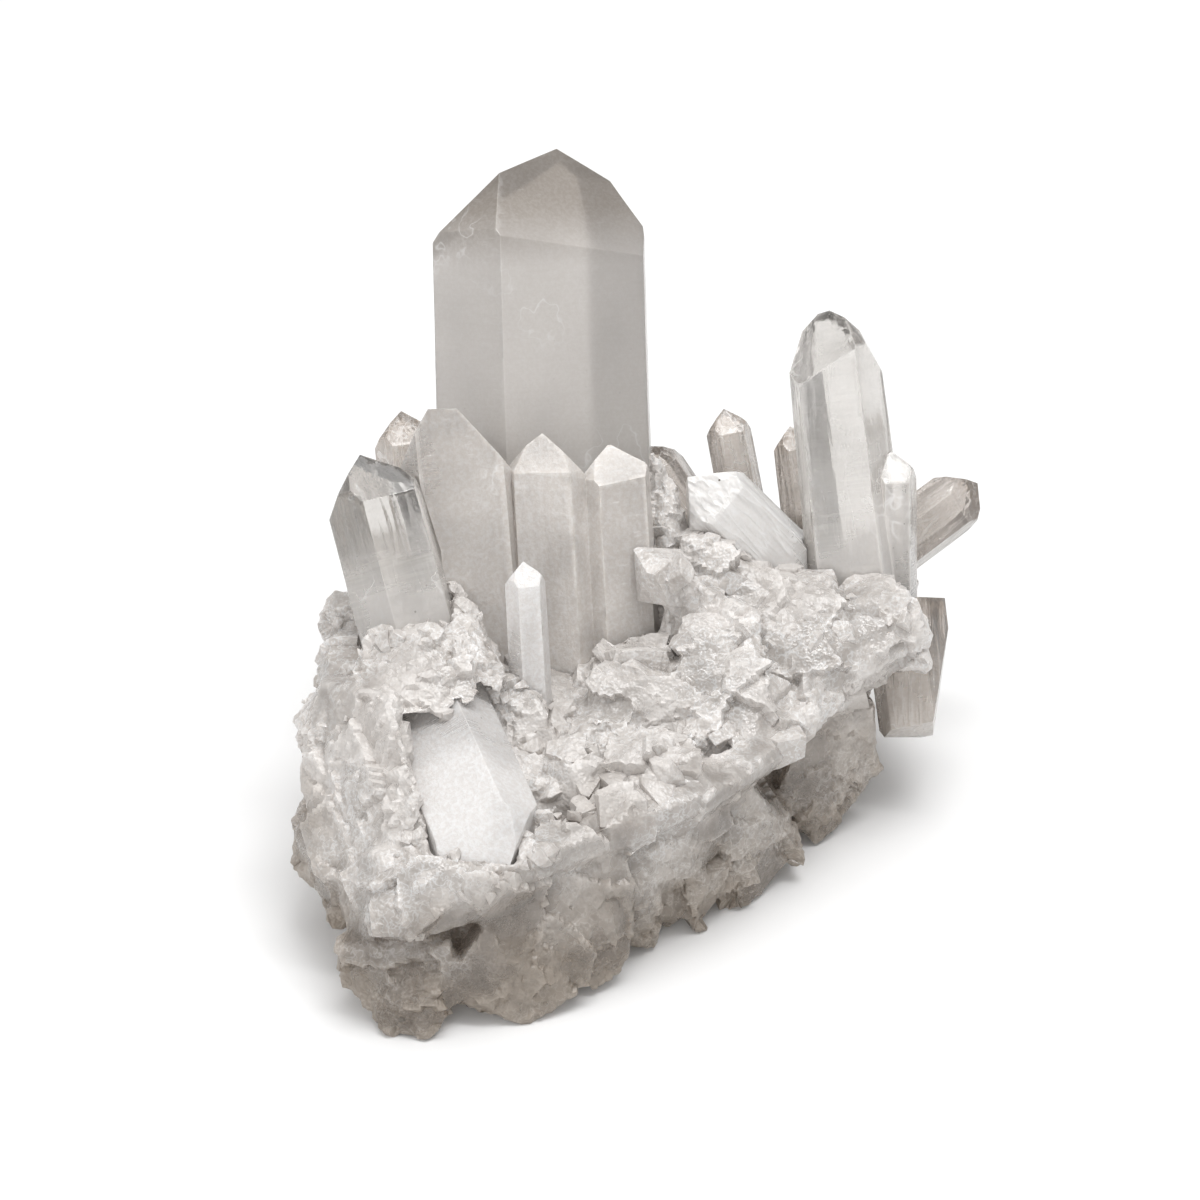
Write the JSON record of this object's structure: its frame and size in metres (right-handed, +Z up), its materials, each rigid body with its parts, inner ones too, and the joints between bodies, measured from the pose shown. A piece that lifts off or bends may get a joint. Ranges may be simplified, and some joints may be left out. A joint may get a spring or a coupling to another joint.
{
  "type": "quartz crystal cluster",
  "caption": "Natural quartz cluster: tall clear six-sided points with pyramid tips standing in a rough broken slab of milky quartz.",
  "frame": {"origin": "middle of the flat break that the cluster rests on, at table level", "axes": "+Z up from the table, -Y towards the viewer of the picture, +X to the viewer's right"},
  "size_m": [0.0899, 0.0955, 0.078],
  "materials": {
    "main_crystal_quartz": "clear to hazy quartz with flat glossy faces",
    "right_crystal_quartz": "clear to hazy quartz with flat glossy faces",
    "front_crystals_quartz": "clear to hazy quartz with flat glossy faces",
    "small_front_crystal_quartz": "clear to hazy quartz with flat glossy faces",
    "left_crystal_quartz": "clear to hazy quartz with flat glossy faces",
    "left_back_crystal_quartz": "clear to hazy quartz with flat glossy faces",
    "lower_left_crystal_quartz": "clear to hazy quartz with flat glossy faces",
    "middle_crystal_quartz": "clear to hazy quartz with flat glossy faces",
    "back_crystal_left_quartz": "clear to hazy quartz with flat glossy faces",
    "back_crystal_middle_quartz": "clear to hazy quartz with flat glossy faces",
    "back_crystal_right_quartz": "clear to hazy quartz with flat glossy faces",
    "right_back_crystal_quartz": "clear to hazy quartz with flat glossy faces",
    "right_low_crystal_quartz": "clear to hazy quartz with flat glossy faces",
    "rear_crystal_left_quartz": "clear to hazy quartz with flat glossy faces",
    "rear_crystal_middle_quartz": "clear to hazy quartz with flat glossy faces",
    "rear_crystal_right_quartz": "clear to hazy quartz with flat glossy faces",
    "matrix_quartz": "rough broken milky quartz, partly see-through"
  },
  "bodies": {
    "root": {"main_crystal": "main_crystal_quartz", "right_crystal": "right_crystal_quartz", "front_crystals": "front_crystals_quartz", "small_front_crystal": "small_front_crystal_quartz", "left_crystal": "left_crystal_quartz", "left_back_crystal": "left_back_crystal_quartz", "lower_left_crystal": "lower_left_crystal_quartz", "middle_crystal": "middle_crystal_quartz", "back_crystal_left": "back_crystal_left_quartz", "back_crystal_middle": "back_crystal_middle_quartz", "back_crystal_right": "back_crystal_right_quartz", "right_back_crystal": "right_back_crystal_quartz", "right_low_crystal": "right_low_crystal_quartz", "rear_crystal_left": "rear_crystal_left_quartz", "rear_crystal_middle": "rear_crystal_middle_quartz", "rear_crystal_right": "rear_crystal_right_quartz", "matrix": "matrix_quartz"}
  },
  "joints": []
}
